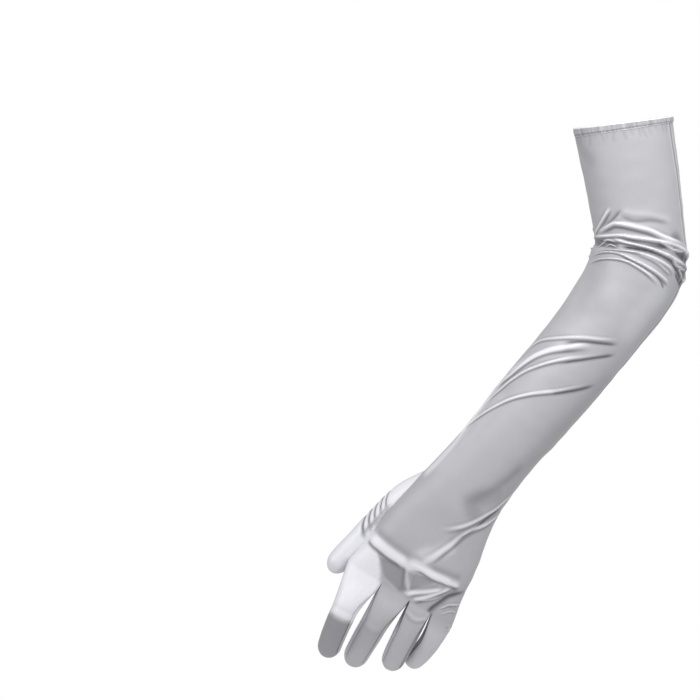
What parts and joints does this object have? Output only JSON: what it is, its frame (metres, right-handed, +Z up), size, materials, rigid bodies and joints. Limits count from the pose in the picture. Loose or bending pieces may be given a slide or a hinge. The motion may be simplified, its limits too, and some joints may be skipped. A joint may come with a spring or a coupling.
{
  "type": "long satin opera glove",
  "caption": "Long satin opera glove for the left hand, held in its worn form: gathered at the elbow, hand relaxed, open at the cuff.",
  "frame": {"origin": "centre of the cuff's opening, where the arm goes in", "axes": "+Z up, with the glove hanging from its cuff; the back of the hand faces -Y, the palm +Y, and the fingers point down and to -X"},
  "size_m": [0.3088, 0.0884, 0.4688],
  "materials": {
    "satin": "silver-grey stretch satin with a soft sheen",
    "satin_hem": "silver-grey stretch satin, doubled and stitched"
  },
  "bodies": {
    "root": {"glove_body": "satin", "thumb": "satin", "fourchette_ring_little": "satin", "fourchette_middle_ring": "satin", "fourchette_index_middle": "satin", "cuff_hem": "satin_hem"}
  },
  "joints": []
}
